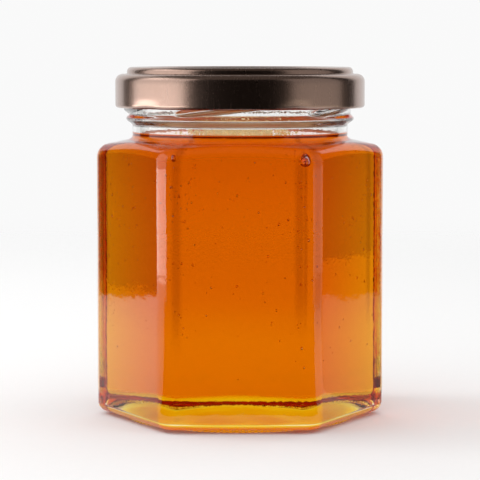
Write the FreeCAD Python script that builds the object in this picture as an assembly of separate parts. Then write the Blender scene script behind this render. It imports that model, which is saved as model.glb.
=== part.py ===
import FreeCAD, Part
import math
import os

# A six-sided glass jar of honey, closed with a pressed metal twist-off lid.
# Millimetres. The origin is at the centre of the base, +Z is up, and a flat side faces -Y.

# Glass body
across_flats = 67.6
corner_radius = 6.0
shoulder_height = 74.0  # where the shoulder would meet the neck's outside
shoulder_slope = 12.0  # degrees that the shoulder falls away from the neck
shoulder_fillet = 2.8
heel_fillet = 3.0
neck_fillet = 0.9

# Glass thickness and the hollow inside
wall = 2.5
base_thickness = 4.4  # at the edge of the push-up
inner_corner_radius = 5.0
inner_heel_fillet = 4.5
inner_shoulder_fillet = 2.5
inner_neck_fillet = 1.6
push_up_rise = 1.4  # how far the middle of the hollow's floor stands above its edge
push_up_inset = 2.3  # from the inside of a flat wall to the push-up's edge

# Foot ring that the jar stands on
foot_height = 0.8
foot_inset = 2.8  # from a flat side to the outside of the foot
foot_width = 2.6
foot_fillet = 0.35
underside_rise = 1.2  # from the body's underside up to the middle of the dome in it

# Neck, from the shoulder to the rim
neck_height = 18.6
mouth_radius = 26.2
neck_wall = 3.2  # above the bead
neck_step = 0.8  # the neck is this much slimmer below the bead
bead_rise = 5.1  # from the shoulder to the middle of the bead
bead_depth = 1.6  # how far the bead stands out from the slimmer neck
bead_thickness = 2.4
rim_fillet = 1.2

# Thread ridges on the neck
thread_count = 5
thread_depth = 1.5  # how far a ridge stands out from the neck
thread_thickness = 2.0
thread_arc = 62.0  # degrees
thread_slope = 7.0  # degrees, rising to the right as seen from outside
first_thread = -90.0  # direction of the first ridge's middle, degrees from +X

# Honey
headspace = 17.0  # from the rim down to the surface

# Lid
sheet = 0.3
lid_height = 10.7
lid_play = 1.9  # between the thread ridges and the inside of the skirt
curl_diameter = 1.6
lid_corner_radius = 2.0
ring_height = 1.8  # from the lid's outer ledge up to its crown
ring_clearance = 0.3  # beside the glass rim, outside and inside
ring_corner_radius = 1.2
panel_drop = 1.6  # from the crown down to the middle panel
panel_slope = 1.2  # how far the wall between crown and panel runs inwards
lug_thickness = 0.9
lug_gap = 0.15  # from a lug's near end up to the ridge above it
lug_clearance = 0.4  # from a lug's tip to the neck
lug_arc = 10.0  # degrees
lug_turn = 25.0  # degrees from a ridge's middle to the lug that is under it
dent_height = 1.9
dent_lean = 23.0  # degrees that the flattened curl leans in

overshoot = 5.0  # cutters and trims run this far past what they cut
tolerance = 0.01  # for picking out edges by where they lie

rim_top = shoulder_height + neck_height
finish_radius = mouth_radius + neck_wall
neck_radius = finish_radius - neck_step
bead_height = shoulder_height + bead_rise
bead_radius = neck_radius + bead_depth
thread_radius = finish_radius + thread_depth
foot_radius = across_flats / 2 - foot_inset
honey_level = rim_top - headspace
crown = rim_top + sheet
lid_bottom = crown - lid_height
skirt_radius = thread_radius + lid_play + sheet
thread_step = 360.0 / thread_count
up = FreeCAD.Vector(0, 0, 1)
centre = FreeCAD.Vector(0, 0, 0)


def direction(angle, radius, height=0.0):
    """The point at a distance from the axis, in a direction given in degrees from +X."""
    turn = math.radians(angle)
    return FreeCAD.Vector(radius * math.cos(turn), radius * math.sin(turn), height)


def at(radius, height):
    """A point of a profile that is turned about the upright axis."""
    return FreeCAD.Vector(radius, 0, height)


def turned(points):
    """The solid that a closed outline of straight lines makes when it is turned about the axis."""
    outline = Part.makePolygon(points + [points[0]])
    return Part.Face(outline).revolve(centre, up, 360)


def steepness(edge):
    """How nearly upright an edge starts out: 0 is level and 1 is upright."""
    return abs(edge.tangentAt(edge.FirstParameter).z)


def rounded_hexagon(flats, radius, bottom, top):
    """An upright hexagonal column with round upright edges and two sides square to Y."""
    reach = flats / 2 / math.cos(math.radians(30))
    corners = [direction(60 * k, reach, bottom) for k in range(6)]
    column = Part.Face(Part.makePolygon(corners + [corners[0]])).extrude(up * (top - bottom))
    upright = [edge for edge in column.Edges if steepness(edge) > 0.9]
    return column.makeFillet(radius, upright)


def edges_within(solid, low, high, inner, outer):
    """The edges whose middle lies between two heights and two distances from the axis."""
    found = []
    for edge in solid.Edges:
        middle = edge.valueAt((edge.FirstParameter + edge.LastParameter) / 2)
        distance = math.hypot(middle.x, middle.y)
        if low <= middle.z <= high and inner <= distance <= outer:
            found.append(edge)
    return found


def edges_at(solid, height, inner, outer):
    """The edges at one height, between two distances from the axis."""
    return edges_within(solid, height - tolerance, height + tolerance, inner, outer)


def ring_edges(solid, radius, height, reach):
    """The level round edges of one radius that lie within reach of a height."""
    found = edges_within(solid, height - reach, height + reach, radius - tolerance, radius + tolerance)
    return [edge for edge in found if steepness(edge) < tolerance]


def shouldered_column(flats, radius, floor, shoulder, top_fillet, floor_fillet):
    """A rounded hexagon under a shallow cone, with its top and bottom edges round.

    The cone would reach the shoulder height at the neck's radius.
    """
    reach = flats / 2 / math.cos(math.radians(30))
    fall = math.tan(math.radians(shoulder_slope))
    tip = shoulder + neck_radius * fall
    outside = reach + overshoot
    below = floor - overshoot
    column = rounded_hexagon(flats, radius, floor, tip)
    roof = turned([at(0, below), at(outside, below), at(outside, tip - outside * fall), at(0, tip)])
    column = column.common(roof)
    column = column.makeFillet(floor_fillet, edges_at(column, floor, tolerance, reach))
    lowest = tip - reach * fall
    brink = edges_within(column, lowest, shoulder, flats / 2 - tolerance, reach)
    brink = [edge for edge in brink if steepness(edge) < 0.9]
    return column.makeFillet(top_fillet, brink)


def ridge(angle):
    """One thread ridge: part of a ring with round ends, tipped so that it rises like a right-hand thread."""
    thickness = thread_thickness / 2
    ring_radius = thread_radius - thickness
    half = thread_arc / 2
    body = Part.makeTorus(ring_radius, thickness, centre, up, 0, 360, thread_arc)
    body.rotate(centre, up, -half)
    ends = [Part.makeSphere(thickness, direction(side * half, ring_radius)) for side in (-1, 1)]
    body = body.fuse(ends)
    body.rotate(centre, FreeCAD.Vector(1, 0, 0), thread_slope)
    lug_start = math.radians(lug_turn - lug_arc / 2)
    climb = ring_radius * math.sin(lug_start) * math.tan(math.radians(thread_slope))
    middle_height = lid_bottom + lug_thickness + lug_gap + thickness - climb
    body.translate(up * middle_height)
    body.rotate(centre, up, angle)
    return body


def neck_outside():
    """The neck with its bead and the finish above it, standing down into the shoulder."""
    root = shoulder_height - overshoot
    plain = Part.makeCylinder(neck_radius, bead_height - root, up * root)
    finish = Part.makeCylinder(finish_radius, rim_top - bead_height, up * bead_height)
    finish = finish.makeFillet(rim_fillet, edges_at(finish, rim_top, tolerance, finish_radius + tolerance))
    bead_half = bead_thickness / 2
    bead = Part.makeTorus(bead_radius - bead_half, bead_half, up * bead_height, up)
    return plain.fuse([finish, bead])


def foot():
    """The ring under the body, which alone touches what the jar stands on."""
    ring = Part.makeCylinder(foot_radius, foot_height + heel_fillet)
    return ring.makeFillet(foot_fillet, edges_at(ring, 0, tolerance, foot_radius + tolerance))


def dome(edge_radius, edge_height, rise):
    """A ball whose top is a dome of the given edge radius and rise."""
    ball_radius = (edge_radius**2 + rise**2) / (2 * rise)
    return Part.makeSphere(ball_radius, up * (edge_height + rise - ball_radius))


def hollow():
    """The space inside the glass, from its domed floor up past the mouth."""
    floor = base_thickness
    ceiling = shoulder_height - wall / math.cos(math.radians(shoulder_slope))
    inner_flats = across_flats - 2 * wall
    space = shouldered_column(inner_flats, inner_corner_radius, floor, ceiling,
                              inner_shoulder_fillet, inner_heel_fillet)
    mouth = Part.makeCylinder(mouth_radius, rim_top - floor, up * (floor + overshoot))
    space = space.fuse(mouth).removeSplitter()
    joint = ceiling + (neck_radius - mouth_radius) * math.tan(math.radians(shoulder_slope))
    space = space.makeFillet(inner_neck_fillet, ring_edges(space, mouth_radius, joint, wall))
    return space.cut(dome(inner_flats / 2 - push_up_inset, floor, push_up_rise))


def glass_outside():
    """The jar as if it were solid: body, neck, thread ridges and foot."""
    body = shouldered_column(across_flats, corner_radius, foot_height, shoulder_height,
                             shoulder_fillet, heel_fillet)
    solid = body.fuse(neck_outside()).removeSplitter()
    solid = solid.makeFillet(neck_fillet, ring_edges(solid, neck_radius, shoulder_height, wall))
    ridges = [ridge(first_thread + thread_step * k) for k in range(thread_count)]
    return solid.fuse(ridges + [foot()])


def glass_jar(space):
    """The glass, hollowed out inside and domed underneath, with the mouth's inner edge rounded."""
    underside = dome(foot_radius - foot_width, 0, foot_height + underside_rise)
    solid = glass_outside().cut(underside).cut(space)
    return solid.makeFillet(rim_fillet, ring_edges(solid, mouth_radius, rim_top, tolerance))


def honey(space):
    """Honey fills the glass face to face, up to its level surface in the neck."""
    reach = across_flats
    below = Part.makeBox(2 * reach, 2 * reach, honey_level + overshoot,
                         FreeCAD.Vector(-reach, -reach, -overshoot))
    return space.common(below)


def lug(angle):
    """A tongue that is pressed in from the curl and sits under a thread ridge."""
    tip = finish_radius + lug_clearance
    root = skirt_radius - curl_diameter / 2
    top = lid_bottom + lug_thickness
    corners = [at(tip, lid_bottom), at(root, lid_bottom), at(root, top), at(tip, top), at(tip, lid_bottom)]
    tongue = Part.Face(Part.makePolygon(corners)).revolve(centre, up, lug_arc)
    tongue.rotate(centre, up, angle - lug_arc / 2)
    return tongue


def dent(angle):
    """The leaning slab that flattens the curl in front of a lug."""
    width = 4 * overshoot
    slab = Part.makeBox(overshoot, width, width, FreeCAD.Vector(0, -width / 2, -width))
    slab.rotate(centre, FreeCAD.Vector(0, 1, 0), dent_lean)
    slab.translate(at(skirt_radius, lid_bottom + dent_height))
    slab.rotate(centre, up, angle)
    return slab


def lid_cup(inset):
    """The lid's outer form as a filled cup, drawn in by the inset on every side."""
    ledge = crown - ring_height - inset
    top = crown - inset
    panel = crown - panel_drop - inset
    ring_outer = finish_radius + ring_clearance + sheet - inset
    ring_inner = mouth_radius - ring_clearance - sheet + inset
    skirt = skirt_radius - inset
    mouth = lid_bottom + curl_diameter / 2
    cup = turned([at(0, mouth), at(skirt, mouth), at(skirt, ledge), at(ring_outer, ledge),
                  at(ring_outer, top), at(ring_inner, top), at(ring_inner - panel_slope, panel),
                  at(0, panel)])
    for radius in (ring_inner, ring_outer):
        cup = cup.makeFillet(ring_corner_radius - inset, ring_edges(cup, radius, top, tolerance))
    cup = cup.makeFillet(lid_corner_radius - inset, ring_edges(cup, skirt, ledge, tolerance))
    return cup.makeFillet(sheet + inset, ring_edges(cup, ring_outer, ledge, tolerance))


def lid():
    """Pressed sheet lid: panel, raised ring over the rim, ledge, skirt, rolled curl and lugs."""
    shell = lid_cup(0).cut(lid_cup(sheet))
    curl_half = curl_diameter / 2
    curl = Part.makeTorus(skirt_radius - curl_half, curl_half, up * (lid_bottom + curl_half), up)
    angles = [first_thread + lug_turn + thread_step * k for k in range(thread_count)]
    solid = shell.fuse([curl] + [lug(angle) for angle in angles])
    for angle in angles:
        solid = solid.cut(dent(angle))
    return solid


os.makedirs("parts", exist_ok=True)
inner_space = hollow()
pieces = {"jar": glass_jar(inner_space), "honey": honey(inner_space), "lid": lid()}
for node, shape in pieces.items():
    print(node, "solids", len(shape.Solids), "valid", shape.isValid(), "mm3", round(shape.Volume, 1))
    shape.Solids[0].exportStep("parts/" + node + ".step")
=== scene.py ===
import math
import random

import bmesh
import bpy
from mathutils import Matrix, Vector, noise


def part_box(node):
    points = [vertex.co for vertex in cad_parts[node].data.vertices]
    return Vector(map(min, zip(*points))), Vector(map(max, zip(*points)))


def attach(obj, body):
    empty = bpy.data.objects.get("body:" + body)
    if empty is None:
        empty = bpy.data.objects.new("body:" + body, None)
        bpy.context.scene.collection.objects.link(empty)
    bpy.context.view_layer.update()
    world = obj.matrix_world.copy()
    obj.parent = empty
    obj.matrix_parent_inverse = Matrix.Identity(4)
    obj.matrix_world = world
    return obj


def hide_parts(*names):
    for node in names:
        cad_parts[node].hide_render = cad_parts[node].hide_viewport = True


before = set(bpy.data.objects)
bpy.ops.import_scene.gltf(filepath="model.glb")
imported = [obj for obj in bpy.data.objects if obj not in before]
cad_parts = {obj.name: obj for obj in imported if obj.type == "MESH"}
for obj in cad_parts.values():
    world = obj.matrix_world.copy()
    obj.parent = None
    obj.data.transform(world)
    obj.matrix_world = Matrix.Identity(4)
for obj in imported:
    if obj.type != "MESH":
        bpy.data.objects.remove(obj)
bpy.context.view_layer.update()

mm = 0.001
random.seed(63)


# small helpers for shapes

def arc(centreRadius, centreHeight, size, fromAngle, toAngle, parts):
    # points of a rounding in an outline, angles in degrees from straight out, turning upwards
    points = []
    for step in range(parts + 1):
        turn = math.radians(fromAngle + (toAngle - fromAngle) * step / parts)
        points.append((centreRadius + size * math.cos(turn), centreHeight + size * math.sin(turn)))
    return points


def turnOutline(outline, steps):
    # spins an outline of (radius, height) round the jar's axis, and marks which point each ring came from
    bm = bmesh.new()
    station = bm.verts.layers.int.new("station")
    corners = [bm.verts.new((radius, 0, height)) for radius, height in outline]
    for number, corner in enumerate(corners):
        corner[station] = number
    edges = [bm.edges.new(pair) for pair in zip(corners, corners[1:])]
    bmesh.ops.spin(bm, geom=corners + edges, cent=(0, 0, 0), axis=(0, 0, 1), dvec=(0, 0, 0),
                   angle=math.tau, steps=steps, use_merge=True)
    return bm, station


def tidyShell(bm):
    bmesh.ops.remove_doubles(bm, verts=bm.verts, dist=1e-7)
    bmesh.ops.recalc_face_normals(bm, faces=bm.faces)


def makePiece(bm, name, materials, replaces=None):
    for face in bm.faces:
        face.smooth = True
    mesh = bpy.data.meshes.new(name)
    bm.to_mesh(mesh)
    bm.free()
    for material in materials:
        mesh.materials.append(material)
    piece = bpy.data.objects.new(name, mesh)
    bpy.context.collection.objects.link(piece)
    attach(piece, "root")
    if replaces:
        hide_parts(replaces)
    print("made", name, "with", len(mesh.polygons), "faces")


# small helpers for materials

class Value:
    # wraps one shader socket so that maths on it reads like maths
    def __init__(self, recipe, socket):
        self.recipe = recipe
        self.socket = socket

    def work(self, operation, first, second):
        return self.recipe.add("ShaderNodeMath", {"operation": operation}, {0: first, 1: second})

    def __add__(self, other):
        return self.work("ADD", self, other)

    def __radd__(self, other):
        return self.work("ADD", other, self)

    def __sub__(self, other):
        return self.work("SUBTRACT", self, other)

    def __rsub__(self, other):
        return self.work("SUBTRACT", other, self)

    def __mul__(self, other):
        return self.work("MULTIPLY", self, other)

    def __rmul__(self, other):
        return self.work("MULTIPLY", other, self)


class Recipe:
    # one material, built node by node
    def __init__(self, name):
        self.material = bpy.data.materials.new(name)
        self.material.use_nodes = True
        self.tree = self.material.node_tree
        self.tree.nodes.clear()
        self.output = self.tree.nodes.new("ShaderNodeOutputMaterial")

    def add(self, kind, settings=None, sockets=None, output=0):
        node = self.tree.nodes.new(kind)
        for name, value in (settings or {}).items():
            if name == "stops":
                for stop, (place, colour) in zip(self.rampStops(node, len(value)), value):
                    stop.position = place
                    stop.color = colour
            else:
                setattr(node, name, value)
        for name, value in (sockets or {}).items():
            if isinstance(value, Value):
                self.tree.links.new(value.socket, node.inputs[name])
            else:
                node.inputs[name].default_value = value
        return Value(self, node.outputs[output])

    def rampStops(self, node, count):
        while len(node.color_ramp.elements) < count:
            node.color_ramp.elements.new(1.0)
        return node.color_ramp.elements

    def place(self, scale=(1, 1, 1)):
        here = self.add("ShaderNodeTexCoord", output=3)
        return self.add("ShaderNodeMapping", {}, {"Vector": here, "Scale": scale})

    def mixColour(self, factor, first, second, blend="MIX"):
        return self.add("ShaderNodeMix", {"data_type": "RGBA", "blend_type": blend},
                        {0: factor, 6: first, 7: second}, output=2)

    def grain(self, scale, detail=2.0, roughness=0.5, stretch=(1, 1, 1)):
        return self.add("ShaderNodeTexNoise", {}, {
            "Vector": self.place(stretch), "Scale": scale, "Detail": detail, "Roughness": roughness})

    def finish(self, surface, volume=None):
        self.tree.links.new(surface.socket, self.output.inputs["Surface"])
        if volume:
            self.tree.links.new(volume.socket, self.output.inputs["Volume"])
        return self.material


# sizes shared by the glass, the honey and the lid

jarLow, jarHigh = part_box("jar")
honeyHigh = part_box("honey")[1]
lidLow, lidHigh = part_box("lid")

body = {
    "halfFlats": (jarHigh[1] - jarLow[1]) / 2,  # from the axis to a flat side
    "cornerRadius": 6 * mm,
    "wall": 2.5 * mm,
    "innerCornerRadius": 5 * mm,
    "shoulderHeight": 74 * mm,  # where the shoulder would meet the neck
    "shoulderSlope": math.tan(math.radians(12)),
    "steps": 192,  # a multiple of 12, so that corners and flats share them evenly
}
neck = {
    "radius": 28.6 * mm,
    "finishRadius": 29.4 * mm,
    "mouthRadius": 26.2 * mm,
    "beadHeight": 79.1 * mm,
    "rimTop": jarHigh[2],
}
honeyLevel = honeyHigh[2]


def roundHexagon(halfFlats, cornerRadius, inset, angle):
    # a point of the body's outline, drawn in by the inset; half the steps go round the corners
    sector = math.radians(60)
    turn = angle / sector
    corner = round(turn)
    share = turn - corner
    centreDistance = (halfFlats - cornerRadius) / math.cos(sector / 2)
    radius = cornerRadius - inset

    def onCorner(number, lean):
        direction = number * sector
        centre = Vector((centreDistance * math.cos(direction), centreDistance * math.sin(direction)))
        return centre + radius * Vector((math.cos(direction + lean), math.sin(direction + lean)))

    if abs(share) <= 0.25:
        return onCorner(corner, share * 4 * sector / 2)
    side = 1 if share > 0 else -1
    start = onCorner(corner, side * sector / 2)
    end = onCorner(corner + side, -side * sector / 2)
    return start.lerp(end, (abs(share) - 0.25) * 2)


def coneHeight(distance, drop=0.0):
    return body["shoulderHeight"] - drop - (distance - neck["radius"]) * body["shoulderSlope"]


def pressStations(bm, station, stations, halfFlats, cornerRadius, drop=0.0):
    # pushes every spun ring into its own form: six-sided, round, or between the two on the shoulder
    for vert in bm.verts:
        form, first, second = stations[vert[station]]
        angle = math.atan2(vert.co.y, vert.co.x)
        if form == "round":
            continue
        if form == "blend":
            inset, radius = first
            flat = roundHexagon(halfFlats, cornerRadius, inset, angle)
            point = flat.lerp(Vector((radius * math.cos(angle), radius * math.sin(angle))), second)
            height = coneHeight(point.length, drop)
        else:
            point = roundHexagon(halfFlats, cornerRadius, first, angle)
            height = second if form == "six" else coneHeight(point.length, drop) - second
        vert.co = (point.x, point.y, height)


def stationOutline(stations, halfFlats):
    # the outline that is spun before pressing; only its round rings keep their place
    return [(first, second) if form == "round" else (halfFlats, number * mm)
            for number, (form, first, second) in enumerate(stations)]


def wavy(place, size, amount):
    # slow unevenness that pressed glass has
    return amount * noise.noise(Vector(place) / size)


# the glass

glassShape = {
    "heelFillet": 2.5 * mm,
    "shoulderFillet": 2.8 * mm,
    "neckFillet": 0.9 * mm,
    "footHeight": 0.8 * mm,
    "footRadius": 31 * mm,
    "footWidth": 2.6 * mm,
    "footFillet": 0.35 * mm,
    "undersideRise": 3.2 * mm,
    "beadSize": 1.2 * mm,
    "rimFillet": 1.2 * mm,
    "wallRows": 34,
    "neckRow": 0.3 * mm,  # height of one row of faces on the neck
    "outerWave": 0.05 * mm,
    "innerWave": 0.10 * mm,
    "waveSize": 14 * mm,
    "waveFrom": 8 * mm,  # the flats are wavy above this height, the floor below it
    "floorWave": 0.22 * mm,
    "floorWaveSize": 8 * mm,
    "stipple": 0.17,  # roughness of the underside
}
thread = {
    "count": 5,
    "depth": 1.5 * mm,
    "halfWidth": 1.0 * mm,
    "halfArc": 33,  # degrees
    "taper": 9,  # degrees over which an end dies away
    "slope": math.tan(math.radians(7)),
    "middle": 82.99 * mm,
    "first": -90,  # degrees
}
hollow = {
    "floor": 3.0 * mm,
    "heelFillet": 3.4 * mm,
    "shoulderFillet": 2.5 * mm,
    "neckFillet": 1.6 * mm,
    "pushUpRise": 3.0 * mm,
    "pushUpRadius": 29 * mm,
    "pushUpEdge": 2.6 * mm,
    "intoWall": 0.2 * mm,
}
contactLine = honeyLevel + 0.10 * mm  # how high the honey clings to the neck
restLevel = honeyLevel - 0.25 * mm  # its level away from the glass


def domeHeight(distance, edgeRadius, edgeHeight, rise):
    return edgeHeight + rise * (1 - (distance / edgeRadius) ** 2)


def outerStations():
    shape = glassShape
    footInside = shape["footRadius"] - shape["footWidth"]
    stations = []
    for step in range(13):
        radius = footInside * step / 12
        stations.append(("round", radius, domeHeight(radius, footInside, 0, shape["undersideRise"])))
    fillet = shape["footFillet"]
    for radius, height in arc(shape["footRadius"] - fillet, fillet, fillet, -90, 0, 4):
        stations.append(("round", radius, height))
    stations.append(("round", shape["footRadius"], shape["footHeight"] - 0.1 * mm))
    heel = shape["heelFillet"]
    for step in range(1, 11):
        turn = math.radians(9 * step)
        height = shape["footHeight"] + heel * (1 - math.cos(turn))
        stations.append(("six", heel * (1 - math.sin(turn)), height))
    low = shape["footHeight"] + heel
    high = coneHeight(body["halfFlats"] / math.cos(math.radians(30))) - shape["shoulderFillet"] - 1.5 * mm
    for step in range(1, shape["wallRows"]):
        stations.append(("six", 0.0, low + (high - low) * step / shape["wallRows"]))
    fillet = shape["shoulderFillet"]
    for step in range(11):
        turn = math.radians(9 * step)
        stations.append(("shoulder", fillet * (1 - math.cos(turn)), fillet * (1 - math.sin(turn))))
    small = shape["neckFillet"]
    for step in range(1, 7):
        stations.append(("blend", (fillet, neck["radius"] + small), step / 6))
    root = coneHeight(neck["radius"]) + small
    for radius, height in arc(neck["radius"] + small, root, small, -105, -180, 5):
        stations.append(("round", radius, height))
    return stations + neckStations()


def neckStations():
    shape = glassShape
    size = shape["beadSize"]
    middle = neck["radius"] + 0.4 * mm
    stations = []
    height = coneHeight(neck["radius"]) + shape["neckFillet"]
    beadFoot = neck["beadHeight"] - 1.5 * mm
    while height < beadFoot:
        stations.append(("round", neck["radius"], height))
        height += shape["neckRow"] * 2
    for step in range(21):  # the bead swells out of the neck and back, with soft roots
        share = step / 20
        across = neck["beadHeight"] + (share * 2 - 1) * 1.5 * mm
        root = neck["radius"] + (neck["finishRadius"] - neck["radius"]) * (share ** 2 * (3 - 2 * share))
        swell = math.cos((share * 2 - 1) * math.pi / 2) ** 1.5
        reach = middle + size - (neck["radius"] + neck["finishRadius"]) / 2
        stations.append(("round", root + reach * swell, across))
    height = neck["beadHeight"] + 1.5 * mm + shape["neckRow"] / 2
    rimFillet = shape["rimFillet"]
    while height < neck["rimTop"] - rimFillet - shape["neckRow"]:
        stations.append(("round", neck["finishRadius"], height))
        height += shape["neckRow"]
    rimFoot = neck["rimTop"] - rimFillet
    for radius, height in arc(neck["finishRadius"] - rimFillet, rimFoot, rimFillet, 0, 90, 6):
        stations.append(("round", radius, height))
    for radius, height in arc(neck["mouthRadius"] + rimFillet, rimFoot, rimFillet, 90, 180, 6):
        stations.append(("round", radius, height))
    return stations


def dryStations():
    # the bare inside of the neck, down to where the honey touches it
    top = neck["rimTop"] - glassShape["rimFillet"]
    low = contactLine
    return [("round", neck["mouthRadius"], top + (low - top) * step / 12) for step in range(1, 13)]


def wetStations(grow):
    # the inside of the glass that the honey touches, grown by a little for the honey itself
    inner = body["halfFlats"] - body["wall"]
    ceilingDrop = body["wall"] / math.cos(math.radians(12)) - grow
    mouth = neck["mouthRadius"] + grow
    small = hollow["neckFillet"]
    stations = []
    joint = coneHeight(neck["mouthRadius"], ceilingDrop)
    low = contactLine
    for step in range(0, 6):
        stations.append(("round", mouth, low + (joint + small - low) * step / 6))
    for radius, height in arc(mouth + small, joint + small, small, 180, 258, 6):
        stations.append(("round", radius, height))
    fillet = hollow["shoulderFillet"]
    for step in range(6):
        stations.append(("blend", (fillet, mouth + small), 1 - (step + 1) / 6))
    for step in range(9, -1, -1):
        turn = math.radians(9 * step)
        stations.append(("shoulder", fillet * (1 - math.cos(turn)), fillet * (1 - math.sin(turn))))
    heel = hollow["heelFillet"]
    floor = hollow["floor"] - grow
    high = coneHeight(inner / math.cos(math.radians(30)), ceilingDrop) - fillet - 1.5 * mm
    low = floor + heel
    rows = glassShape["wallRows"]
    for step in range(rows):
        stations.append(("six", 0.0, high + (low - high) * step / rows))
    for step in range(11):
        turn = math.radians(9 * step)
        inset = heel * (1 - math.cos(turn))
        stations.append(("six", inset, floor + heel * (1 - math.sin(turn))))
    edge = hollow["pushUpRadius"] - hollow["pushUpEdge"]
    for step in range(1, 12):
        radius = edge * (1 - step / 11)
        height = domeHeight(radius, hollow["pushUpRadius"], floor, hollow["pushUpRise"])
        stations.append(("round", radius, height))
    return stations, inner + grow, body["innerCornerRadius"] + grow, ceilingDrop


def threadSwell(place):
    # how far the neck's outside stands out under a thread ridge
    angle = math.degrees(math.atan2(place.y, place.x)) - thread["first"]
    pitch = 360 / thread["count"]
    offset = (angle + pitch / 2) % pitch - pitch / 2
    # a ridge is nearly as long as the pitch, so only the nearest one counts
    along = math.radians(offset) * neck["finishRadius"]
    centre = thread["middle"] + along * thread["slope"]
    end = min(1.0, max(0.0, (thread["halfArc"] - abs(offset)) / thread["taper"]))
    across = (place.z - centre) / (thread["halfWidth"] * (0.35 + 0.65 * end ** 0.5))
    if abs(across) >= 1 or end <= 0:
        return 0.0
    return thread["depth"] * (1 - across ** 2) ** 0.5 * (end * (2 - end)) ** 0.5


def makeGlassMesh():
    outside = outerStations()
    bm, station = turnOutline(stationOutline(outside, body["halfFlats"]), body["steps"])
    pressStations(bm, station, outside, body["halfFlats"], body["cornerRadius"])
    bm.normal_update()
    for vert in bm.verts:
        form, first, second = outside[vert[station]]
        flatOut = Vector((vert.co.x, vert.co.y, 0))
        if form == "six" and second > glassShape["waveFrom"]:
            vert.co += flatOut.normalized() * wavy(vert.co, glassShape["waveSize"], glassShape["outerWave"])
        insideFoot = form == "round" and first < glassShape["footRadius"] - 5 * mm
        if insideFoot and second < glassShape["waveFrom"]:
            vert.co.z += wavy(vert.co, glassShape["floorWaveSize"], glassShape["floorWave"])
        if form == "round" and neck["beadHeight"] < second < neck["rimTop"] - 2 * mm:
            swell = threadSwell(vert.co)
            base = flatOut.length
            if swell and base >= neck["finishRadius"] - 1e-6:
                reach = max(base, neck["finishRadius"] + swell)
                vert.co += flatOut.normalized() * (reach - base)
    return bm


def makeHollowMesh(grow):
    wet, halfFlats, cornerRadius, drop = wetStations(grow)
    dry = dryStations() if grow == 0 else []
    stations = dry + wet
    bm, station = turnOutline(stationOutline(stations, halfFlats), body["steps"])
    pressStations(bm, station, stations, halfFlats, cornerRadius, drop)
    for vert in bm.verts:
        form, first, second = stations[vert[station]]
        if form == "six" and second > glassShape["waveFrom"]:
            flatOut = Vector((vert.co.x, vert.co.y, 0)).normalized()
            place = Vector(vert.co) + Vector((3, 1, 2))
            vert.co += flatOut * wavy(place, glassShape["waveSize"], glassShape["innerWave"])
        if form == "round" and second < glassShape["waveFrom"]:
            place = Vector(vert.co) + Vector((1, 4, 2))
            vert.co.z += wavy(place, glassShape["floorWaveSize"], glassShape["floorWave"])
    return bm, station, len(dry)


def joinMeshes(into, other):
    # copies one bmesh into another, so that one piece can be made of both
    passing = bpy.data.meshes.new("passing")
    other.to_mesh(passing)
    other.free()
    into.from_mesh(passing)
    bpy.data.meshes.remove(passing)


def glassMaterial(name, refraction):
    recipe = Recipe(name)
    ripple = recipe.grain(90, 3, 0.45, (1, 1, 0.6))
    hammered = recipe.grain(850, 2, 0.5)
    seeds = recipe.grain(300, 1, 0.3)
    tint = recipe.mixColour(seeds, (0.985, 0.99, 0.985, 1), (0.965, 0.978, 0.97, 1))
    # the underside is stippled by the mould, inside the ring it stands on
    here = recipe.place()
    height = recipe.add("ShaderNodeSeparateXYZ", {}, {0: here}, output=2)
    aside = recipe.add("ShaderNodeVectorMath", {"operation": "MULTIPLY"}, {0: here, 1: (1, 1, 0)})
    radius = recipe.add("ShaderNodeVectorMath", {"operation": "LENGTH"}, {0: aside}, output=1)
    low = recipe.add("ShaderNodeMapRange", {}, {"Value": height, "From Min": 4.0 * mm, "From Max": 3.3 * mm})
    middle = recipe.add("ShaderNodeMapRange", {}, {
        "Value": radius, "From Min": 29.5 * mm, "From Max": 28 * mm})
    rough = low * middle * glassShape["stipple"]
    slow = recipe.add("ShaderNodeBump", {}, {"Height": ripple, "Strength": 1.0, "Distance": 0.00008})
    bump = recipe.add("ShaderNodeBump", {}, {
        "Height": hammered, "Strength": 1.0, "Distance": 0.000012, "Normal": slow})
    surface = recipe.add("ShaderNodeBsdfPrincipled", {}, {
        "Base Color": tint, "Roughness": rough, "IOR": refraction, "Transmission Weight": 1.0,
        "Normal": bump})
    return recipe.finish(surface)


clearGlass = glassMaterial("clearGlass", 1.5)
wettedGlass = glassMaterial("wettedGlass", 1.0)  # honey bends light as much as glass does

glassMesh = makeGlassMesh()
innerMesh, innerStation, dryCount = makeHollowMesh(0.0)
for face in innerMesh.faces:
    face.material_index = 0 if min(v[innerStation] for v in face.verts) < dryCount else 1
joinMeshes(glassMesh, innerMesh)
bmesh.ops.remove_doubles(glassMesh, verts=glassMesh.verts, dist=1e-7)
openEdges = [edge for edge in glassMesh.edges if edge.is_boundary]
if openEdges:
    bridged = bmesh.ops.bridge_loops(glassMesh, edges=openEdges)
    for face in bridged["faces"]:
        face.material_index = 0
tidyShell(glassMesh)
print("open edges left in the glass", sum(edge.is_boundary for edge in glassMesh.edges))
makePiece(glassMesh, "jar_glass", [clearGlass, wettedGlass], "jar")


# the knurled foot

knurl = {
    "count": 120,
    "radius": 30.7 * mm,
    "height": 0.44 * mm,
    "size": 0.42 * mm,
    "squash": (0.8, 1.0, 1.05, 1),
}
knurlMesh = bmesh.new()
for number in range(knurl["count"]):
    turn = math.tau * number / knurl["count"]
    grown = knurl["size"] * random.uniform(0.9, 1.08)
    middle = (knurl["radius"] * math.cos(turn), knurl["radius"] * math.sin(turn), knurl["height"])
    place = Matrix.Translation(middle) @ Matrix.Rotation(turn, 4, "Z") @ Matrix.Diagonal(knurl["squash"])
    bmesh.ops.create_uvsphere(knurlMesh, u_segments=10, v_segments=6, radius=grown, matrix=place)
makePiece(knurlMesh, "foot_knurl", [clearGlass])


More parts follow.
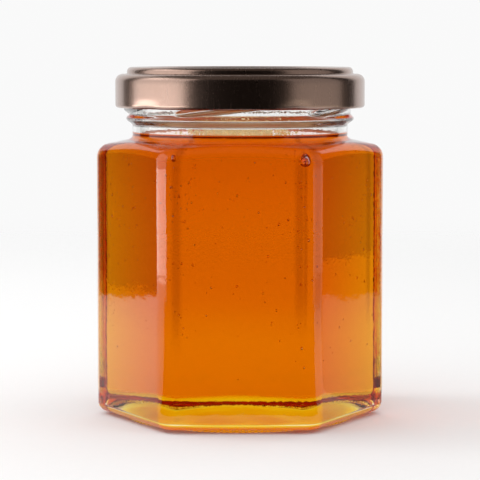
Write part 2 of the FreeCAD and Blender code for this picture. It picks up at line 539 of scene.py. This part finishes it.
# the honey

honeyShape = {
    "paintedLightByHeight": [  # how much red and green the honey lets through, by height: painted light, lighter and yellower towards the base where the bright table behind shows through, darker towards the shoulder
        (24 * mm, (1.0, 1.0, 0.8, 1)),
        (28 * mm, (0.96, 0.86, 0.8, 1)),
        (34 * mm, (0.94, 0.75, 0.8, 1)),
        (50 * mm, (0.94, 0.74, 0.8, 1)),
        (60 * mm, (0.91, 0.66, 0.8, 1)),
        (71 * mm, (0.83, 0.56, 0.8, 1)),
    ],
    "tallest": 80 * mm,
    # painted shade: the darker upright band beside a corner, by degrees past that corner
    "paintedShadeBand": [(0.4, (1, 1, 1)), (2.0, (0.62, 0.55, 1)), (3.6, (0.62, 0.55, 1)), (5.4, (1, 1, 1))],
    "surfaceCurl": 1.6 * mm,
}


def depthOfHoney(recipe):
    # amber: blue is lost within a few millimetres, green within a few centimetres
    return recipe.add("ShaderNodeVolumeAbsorption", {}, {"Color": (0.982, 0.854, 0.0, 1), "Density": 190.0})


def honeyTopMaterial():
    # the open surface is a little cloudy; its faint glow stands in for light scattered up the neck
    recipe = Recipe("honeySurface")
    cloud = recipe.grain(260, 3, 0.55)
    tint = recipe.mixColour(cloud, (1.0, 0.58, 0.12, 1), (1.0, 0.40, 0.05, 1))
    surface = recipe.add("ShaderNodeBsdfPrincipled", {}, {
        "Base Color": tint, "Roughness": 0.03, "IOR": 1.49, "Transmission Weight": 0.75,
        "Emission Color": (1.0, 0.22, 0.02, 1), "Emission Strength": 0.16})
    return recipe.finish(surface, depthOfHoney(recipe))


def honeyMaterial():
    recipe = Recipe("honeyBody")
    height = recipe.add("ShaderNodeSeparateXYZ", {}, {0: recipe.place()}, output=2)
    swirl = recipe.grain(45, 2, 0.5, (1, 1, 0.6))
    # painted light: the honey's colour is lighter towards the base and darker towards the shoulder, by
    # height
    share = height * (1 / honeyShape["tallest"]) + (swirl - 0.5) * 0.05
    stops = [(rise / honeyShape["tallest"], colour) for rise, colour in honeyShape["paintedLightByHeight"]]
    tint = recipe.add("ShaderNodeValToRGB", {"stops": stops}, {0: share})
    # painted shade: a darker upright band beside each corner, standing in for shade inside the honey
    across = recipe.add("ShaderNodeSeparateXYZ", {}, {0: recipe.place()}, output=0)
    along = recipe.add("ShaderNodeSeparateXYZ", {}, {0: recipe.place()}, output=1)
    turn = across.work("ARCTAN2", along, across) * (3 / math.pi)
    offset = turn - turn.work("ROUND", turn, 0.0) + 0.5
    paintedShadeBand = [(0.5 + degrees / 60, (*shade, 1)) for degrees, shade in honeyShape["paintedShadeBand"]]
    shade = recipe.add("ShaderNodeValToRGB", {"stops": paintedShadeBand}, {0: offset})
    # the painted shade fades in from 16 mm up and is full above 34 mm
    paintedShadeReach = recipe.add("ShaderNodeMapRange", {"interpolation_type": "SMOOTHSTEP"},
                       {"Value": height, "From Min": 16 * mm, "From Max": 34 * mm})
    tint = recipe.mixColour(paintedShadeReach, tint, recipe.mixColour(1.0, tint, shade, "MULTIPLY"))
    surface = recipe.add("ShaderNodeBsdfPrincipled", {}, {
        "Base Color": tint, "Roughness": 0.0, "IOR": 1.0, "Transmission Weight": 1.0})
    return recipe.finish(surface, depthOfHoney(recipe))


honeyBodyMaterial = honeyMaterial()
honeySurfaceMaterial = honeyTopMaterial()
honeyMesh = makeHollowMesh(hollow["intoWall"])[0]
topFaces = []
insideRadius = neck["mouthRadius"] + hollow["intoWall"]
loop = [edge for edge in honeyMesh.edges if edge.is_boundary]
for step in range(1, 13):  # the surface curls up to the glass all round
    share = step / 12
    grownRing = bmesh.ops.extrude_edge_only(honeyMesh, edges=loop)["geom"]
    ring = [part for part in grownRing if isinstance(part, bmesh.types.BMVert)]
    loop = [part for part in grownRing if isinstance(part, bmesh.types.BMEdge)
            and part.verts[0] in ring and part.verts[1] in ring]
    radius = insideRadius - honeyShape["surfaceCurl"] * share ** 1.3
    height = restLevel + (contactLine - restLevel) * (1 - share) ** 2.4
    for vert in ring:
        flatOut = Vector((vert.co.x, vert.co.y, 0)).normalized()
        vert.co = flatOut * radius + Vector((0, 0, height))
    topFaces += [part for part in grownRing if isinstance(part, bmesh.types.BMFace)]
cap = bmesh.ops.contextual_create(honeyMesh, geom=loop)
topFaces += cap["faces"]
for face in topFaces:
    face.material_index = 1
tidyShell(honeyMesh)
print("open edges left in the honey", sum(edge.is_boundary for edge in honeyMesh.edges))
makePiece(honeyMesh, "honey_fill", [honeyBodyMaterial, honeySurfaceMaterial], "honey")


# bubbles in the honey and foam on it

def bubbleMaterial():
    recipe = Recipe("airBubble")
    surface = recipe.add("ShaderNodeBsdfGlass", {"distribution": "MULTI_GGX"},
                         {"Color": (1, 0.99, 0.97, 1), "Roughness": 0.0, "IOR": 1 / 1.49})
    return recipe.finish(surface)


bubbles = {
    "count": 560,
    "smallest": 0.09 * mm,
    "largest": 0.34 * mm,
    "nearGlass": 0.45,
    "lowest": 12 * mm,
    "heightRange": 58 * mm,
}
bubbleMesh = bmesh.new()


def addBubble(place, radius, detail=1, lengthen=1.0):
    matrix = Matrix.Translation(place) @ Matrix.Diagonal((1, 1, lengthen, 1))
    bmesh.ops.create_icosphere(bubbleMesh, subdivisions=detail, radius=radius, matrix=matrix)


innerFlats = body["halfFlats"] - body["wall"]
for number in range(bubbles["count"]):
    angle = random.uniform(-math.pi, math.pi)
    edgePoint = roundHexagon(innerFlats, body["innerCornerRadius"], 0.0, angle)
    share = 1 - random.random() ** 2 * bubbles["nearGlass"]
    radius = bubbles["smallest"] + (bubbles["largest"] - bubbles["smallest"]) * random.random() ** 3
    reach = share * (edgePoint.length - 1.0 * mm) / edgePoint.length
    height = bubbles["lowest"] + bubbles["heightRange"] * random.random() ** 0.55
    detail = 2 if radius > 0.2 * mm else 1
    addBubble((edgePoint.x * reach, edgePoint.y * reach, height), radius, detail, random.uniform(1.0, 1.4))
addBubble((16.2 * mm, -28.6 * mm, 69.0 * mm), 1.3 * mm, 3, 0.9)
addBubble((-16.6 * mm, -28.9 * mm, 69.6 * mm), 0.5 * mm, 3)
makePiece(bubbleMesh, "air_bubbles", [bubbleMaterial()])


def foamMaterial():
    # a faint glow stands in for light scattered between the bubbles
    recipe = Recipe("honeyFoam")
    cloud = recipe.grain(700, 1, 0.5)
    tint = recipe.mixColour(cloud, (1.0, 0.93, 0.62, 1), (0.62, 0.42, 0.13, 1))
    surface = recipe.add("ShaderNodeBsdfPrincipled", {}, {
        "Base Color": tint, "Roughness": 0.08, "IOR": 1.4, "Transmission Weight": 0.3,
        "Emission Color": tint, "Emission Strength": 0.30})
    return recipe.finish(surface)


foam = {
    "count": 800,
    "smallest": 0.14 * mm,
    "largest": 0.5 * mm,
    "middle": (0.8 * mm, 0.0),
    "spread": (6.5 * mm, 12 * mm),
    "pile": 0.5 * mm,
}
foamMesh = bmesh.new()
placed = 0
while placed < foam["count"]:
    place = Vector([random.gauss(middle, spread) for middle, spread in zip(foam["middle"], foam["spread"])])
    if place.length > neck["mouthRadius"] - 3.5 * mm:
        continue
    radius = foam["smallest"] + (foam["largest"] - foam["smallest"]) * random.random() ** 2.5
    height = restLevel + radius * 0.8 + foam["pile"] * random.random() ** 2
    bmesh.ops.create_icosphere(foamMesh, subdivisions=1, radius=radius,
                               matrix=Matrix.Translation((place.x, place.y, height)))
    placed += 1
makePiece(foamMesh, "surface_foam", [foamMaterial()])


# the lid

lidShape = {
    "sheet": 0.3 * mm,
    "skirtRadius": (lidHigh[0] - lidLow[0]) / 2,
    "cornerRadius": 2 * mm,
    "ringHeight": 1.8 * mm,
    "ringOuter": 30.0 * mm,
    "ringInner": 25.6 * mm,
    "ringCorner": 1.2 * mm,
    "panelDrop": 1.6 * mm,
    "panelRadius": 24.4 * mm,
    "curl": 0.8 * mm,
    "lugTurn": 25,  # degrees from a thread ridge's middle
    "lugHalfArc": 5.5,
    "lugReach": 1.7 * mm,
    "dentDepth": 0.3 * mm,
    "steps": 300,
}


def lidStations(inset):
    # from the middle of the panel outwards and down the skirt
    shape = lidShape
    crown = lidHigh[2] - inset
    ledge = crown - shape["ringHeight"]
    panel = crown - shape["panelDrop"]
    points = [(0.0, panel), (8 * mm, panel), (16 * mm, panel)]
    slopeAngle = math.degrees(math.atan2(shape["panelDrop"], shape["ringInner"] - shape["panelRadius"]))
    foot = 0.6 * mm
    footX = shape["panelRadius"] + inset - foot * math.tan(math.radians(slopeAngle / 2))
    points += arc(footX, panel + foot, foot, -90, -90 + slopeAngle, 4)
    corner = shape["ringCorner"] - inset
    innerX = shape["ringInner"] + inset + corner * math.tan(math.radians(slopeAngle / 2))
    points += arc(innerX, crown - corner, corner, 90 + slopeAngle, 90, 6)
    points += arc(shape["ringOuter"] - inset - corner, crown - corner, corner, 90, 0, 8)
    root = shape["sheet"] + inset
    points += arc(shape["ringOuter"] - inset + root, ledge + root, root, 180, 270, 5)
    corner = shape["cornerRadius"] - inset
    points += arc(shape["skirtRadius"] - inset - corner, ledge - corner, corner, 90, 0, 10)
    return points


def lidOutline():
    shape = lidShape
    outer = lidStations(0.0)
    inner = lidStations(shape["sheet"])
    curlMiddle = lidLow[2] + shape["curl"]
    curlCentre = shape["skirtRadius"] - shape["curl"]
    skirtTop = outer[-1][1]
    skirtFoot = curlMiddle + 0.4 * mm
    rows = [(shape["skirtRadius"], skirtTop + (skirtFoot - skirtTop) * step / 10) for step in range(1, 11)]
    curl = arc(curlCentre, curlMiddle, shape["curl"], 0, -290, 18)
    innerFoot = curlMiddle + shape["curl"] * 0.9
    innerRows = [(shape["skirtRadius"] - shape["sheet"], y) for x, y in rows if y > innerFoot]
    outside = outer + rows + curl
    return outside + list(reversed(innerRows)) + list(reversed(inner)), len(outside)


def pressLugs(bm):
    # the curl is squeezed inwards in five places, deepest at its lower edge
    shape = lidShape
    curlMiddle = lidLow[2] + shape["curl"]
    for vert in bm.verts:
        rise = (vert.co.z - lidLow[2]) / (3.2 * shape["curl"])
        if rise > 1:
            continue
        angle = math.degrees(math.atan2(vert.co.y, vert.co.x)) - thread["first"] - shape["lugTurn"]
        pitch = 360 / thread["count"]
        offset = abs((angle + pitch / 2) % pitch - pitch / 2) / (shape["lugHalfArc"] * 2)
        if offset >= 1:
            continue
        swell = (1 - offset ** 2) ** 2
        flatOut = Vector((vert.co.x, vert.co.y, 0))
        radius = flatOut.length
        # 0 outside, 1 at the curl's inner side
        inwards = (shape["skirtRadius"] - radius) / (2 * shape["curl"])
        fade = max(0.0, 1 - rise) ** 1.2
        shift = shape["dentDepth"] + (shape["lugReach"] - shape["dentDepth"]) * min(1.0, max(0.0, inwards))
        vert.co -= flatOut.normalized() * shift * swell * fade


def lacquerMaterial():
    recipe = Recipe("bronzeLacquer")
    flake = recipe.grain(5200, 2, 0.6)
    cloud = recipe.grain(70, 3, 0.5, (1, 1, 0.35))
    streak = recipe.grain(900, 2, 0.55, (1, 1, 0.12))
    tone = recipe.mixColour(flake, (0.36, 0.24, 0.192, 1), (0.445, 0.31, 0.257, 1))
    tone = recipe.mixColour(cloud * 0.35, tone, (0.32, 0.215, 0.178, 1))
    rough = 0.2 + flake * 0.06 + streak * 0.06
    bump = recipe.add("ShaderNodeBump", {}, {"Height": flake, "Strength": 0.12, "Distance": 0.00004})
    surface = recipe.add("ShaderNodeBsdfPrincipled", {}, {
        "Base Color": tone, "Metallic": 1.0, "Roughness": rough, "Coat Weight": 0.35, "Coat Roughness": 0.12,
        "Coat IOR": 1.5, "Normal": bump})
    return recipe.finish(surface)


def liningMaterial():
    recipe = Recipe("goldLining")
    cloud = recipe.grain(250, 3, 0.5)
    tone = recipe.mixColour(cloud, (0.80, 0.62, 0.38, 1), (0.72, 0.53, 0.31, 1))
    rough = 0.30 + cloud * 0.12
    surface = recipe.add("ShaderNodeBsdfPrincipled", {}, {
        "Base Color": tone, "Metallic": 1.0, "Roughness": rough})
    return recipe.finish(surface)


lidCorners, lidInside = lidOutline()
lidMesh, lidStation = turnOutline(lidCorners, lidShape["steps"])
for face in lidMesh.faces:
    face.material_index = 1 if min(vert[lidStation] for vert in face.verts) >= lidInside else 0
pressLugs(lidMesh)
tidyShell(lidMesh)
print("open edges left in the lid", sum(edge.is_boundary for edge in lidMesh.edges))
makePiece(lidMesh, "lid_shell", [lacquerMaterial(), liningMaterial()], "lid")


# the table, the light and the camera

studio = {
    "floorRadius": 1.1,
    "fadeFrom": 0.30,
    "fadeTo": 0.75,
    "worldStrength": 0.95,
    "panelDistance": 0.31,
    "panelTop": 0.42,
    "cardHeight": 0.6 * mm,  # of a card that lies on the table
    "strip": {"low": 0.011, "high": 0.062, "reach": 0.306},  # low bright strips, just inside the panels
}


def floorMaterial():
    recipe = Recipe("paleTable")
    here = recipe.place()
    distance = recipe.add("ShaderNodeVectorMath", {"operation": "LENGTH"}, {0: here}, output=1)
    fade = recipe.add("ShaderNodeMapRange", {"interpolation_type": "SMOOTHERSTEP"},
                      {"Value": distance, "From Min": studio["fadeFrom"], "From Max": studio["fadeTo"]})
    speck = recipe.grain(400, 2, 0.5)
    tone = recipe.mixColour(speck, (0.90, 0.90, 0.90, 1), (0.92, 0.92, 0.92, 1))
    table = recipe.add("ShaderNodeBsdfDiffuse", {}, {"Color": tone})
    clear = recipe.add("ShaderNodeBsdfTransparent", {}, {})
    mixed = recipe.add("ShaderNodeMixShader", {}, {0: fade, 1: table, 2: clear})
    return recipe.finish(mixed)


def glowMaterial(name, colour, strength):
    recipe = Recipe(name)
    glow = recipe.add("ShaderNodeEmission", {}, {"Color": (*colour, 1), "Strength": strength})
    return recipe.finish(glow)


def stagePiece(bm, name, material):
    mesh = bpy.data.meshes.new(name)
    bm.to_mesh(mesh)
    bm.free()
    mesh.materials.append(material)
    thing = bpy.data.objects.new(name, mesh)
    bpy.context.collection.objects.link(thing)
    return thing


def standingPanel(name, fromAngle, toAngle, material, lights=False, seenThrough=True, mirrored=True,
                  low=0.0, high=studio["panelTop"], reach=studio["panelDistance"]):
    # a curved card round the jar; angles run from the front, positive to the right
    bm = bmesh.new()
    start = math.radians(fromAngle - 90)
    across, along = math.cos(start), math.sin(start)
    ends = [bm.verts.new((reach * across, reach * along, height)) for height in (low, high)]
    edge = bm.edges.new(ends)
    bmesh.ops.spin(bm, geom=ends + [edge], cent=(0, 0, 0), axis=(0, 0, 1), dvec=(0, 0, 0),
                   angle=math.radians(toAngle - fromAngle), steps=24)
    card = stagePiece(bm, name, material)
    card.visible_camera = False
    card.visible_shadow = False
    card.visible_diffuse = lights
    card.visible_transmission = seenThrough
    card.visible_glossy = mirrored
    return card


def lyingCard(name, fromAngle, toAngle, near, far, material):
    # a card on the table that only shows in reflections
    bm = bmesh.new()
    start = math.radians(fromAngle - 90)
    across, along = math.cos(start), math.sin(start)
    ends = [bm.verts.new((reach * across, reach * along, studio["cardHeight"])) for reach in (near, far)]
    edge = bm.edges.new(ends)
    bmesh.ops.spin(bm, geom=ends + [edge], cent=(0, 0, 0), axis=(0, 0, 1), dvec=(0, 0, 0),
                   angle=math.radians(toAngle - fromAngle), steps=24)
    card = stagePiece(bm, name, material)
    for ray in ("camera", "diffuse", "transmission", "shadow"):
        setattr(card, "visible_" + ray, False)


floorMesh = bmesh.new()
bmesh.ops.create_circle(floorMesh, cap_ends=True, segments=96, radius=studio["floorRadius"])
stagePiece(floorMesh, "table_top", floorMaterial())

black = glowMaterial("blackCard", (1.0, 0.85, 0.75), 0.012)
brown = glowMaterial("sideFlag", (1.0, 0.8, 0.7), 0.02)
dim = glowMaterial("dimWall", (1.0, 0.98, 0.96), 0.74)
leftGlow = glowMaterial("leftSoftbox", (1.0, 0.98, 0.96), 1.40)
leftBright = glowMaterial("leftStrip", (1.0, 0.97, 0.93), 4.3)
rightGlow = glowMaterial("rightSoftbox", (1.0, 0.95, 0.91), 0.42)
rightBright = glowMaterial("rightStrip", (1.0, 0.93, 0.80), 0.9)
# painted shadow: the jar's shadow on the table, as a dim card for reflections only
paintedTableShadow = glowMaterial("paintedTableShadow", (1.0, 0.92, 0.85), 0.42)
standingPanel("front_card", -49, 45.5, black, seenThrough=False)
standingPanel("left_softbox", -109, -49, leftGlow, lights=True)
standingPanel("left_strip", -109, -49, leftBright, seenThrough=False, **studio["strip"])
standingPanel("left_flag", -129, -109, brown, seenThrough=False)
standingPanel("left_shade", -150, -129, dim, mirrored=False, low=0.014)
standingPanel("right_softbox", 45.5, 101, rightGlow)
standingPanel("right_strip", 45.5, 101, rightBright, seenThrough=False, **studio["strip"])
standingPanel("right_flag", 101, 125, brown, seenThrough=False)
standingPanel("right_shade", 125, 150, dim, mirrored=False)
# painted shadow: a dim card on the table to the right, seen only in reflections, stands in for the jar's
# shadow there
lyingCard("right_table_painted_shadow", 92, 140, 0.055, 0.309, paintedTableShadow)

ceilingMesh = bmesh.new()
bmesh.ops.create_circle(ceilingMesh, cap_ends=True, segments=48, radius=studio["panelDistance"],
                        matrix=Matrix.Translation((0, 0, studio["panelTop"])))
ceiling = stagePiece(ceilingMesh, "ceiling_card", glowMaterial("ceilingCard", (1.0, 0.9, 0.82), 0.12))
for side in ("camera", "diffuse", "transmission", "shadow"):
    setattr(ceiling, "visible_" + side, False)

lyingCard("front_table_shade", -60, 52, 0.060, 0.309, black)

world = bpy.data.worlds.new("whiteStudio")
bpy.context.scene.world = world
world.use_nodes = True
background = world.node_tree.nodes["Background"]
background.inputs["Color"].default_value = (1.0, 1.0, 1.0, 1)
background.inputs["Strength"].default_value = studio["worldStrength"]


def areaLight(name, place, aim, size, power):
    lamp = bpy.data.lights.new(name, "AREA")
    lamp.shape = "RECTANGLE"
    lamp.size, lamp.size_y = size
    lamp.energy = power
    thing = bpy.data.objects.new(name, lamp)
    thing.location = place
    thing.rotation_euler = (Vector(aim) - Vector(place)).to_track_quat("-Z", "Y").to_euler()
    bpy.context.collection.objects.link(thing)
    thing.visible_camera = False


areaLight("key_light", (-0.55, 0.10, 0.55), (0, 0, 0.03), (0.25, 0.25), 1.0)

view = {"distance": 0.58, "height": 0.0975, "tilt": 5.0, "focal": 163.3}
cameraData = bpy.data.cameras.new("camera")
cameraData.lens = view["focal"]
cameraData.sensor_width = 36.0
cameraData.clip_start = 0.01
camera = bpy.data.objects.new("camera", cameraData)
camera.location = (0, -view["distance"], view["height"])
camera.rotation_euler = (math.radians(90 - view["tilt"]), 0, 0)
bpy.context.collection.objects.link(camera)
scene = bpy.context.scene
scene.camera = camera
scene.view_settings.view_transform = "Standard"
scene.cycles.max_bounces = 32
scene.cycles.transmission_bounces = 32
scene.cycles.transparent_max_bounces = 32
scene.cycles.glossy_bounces = 6
scene.cycles.blur_glossy = 0.3
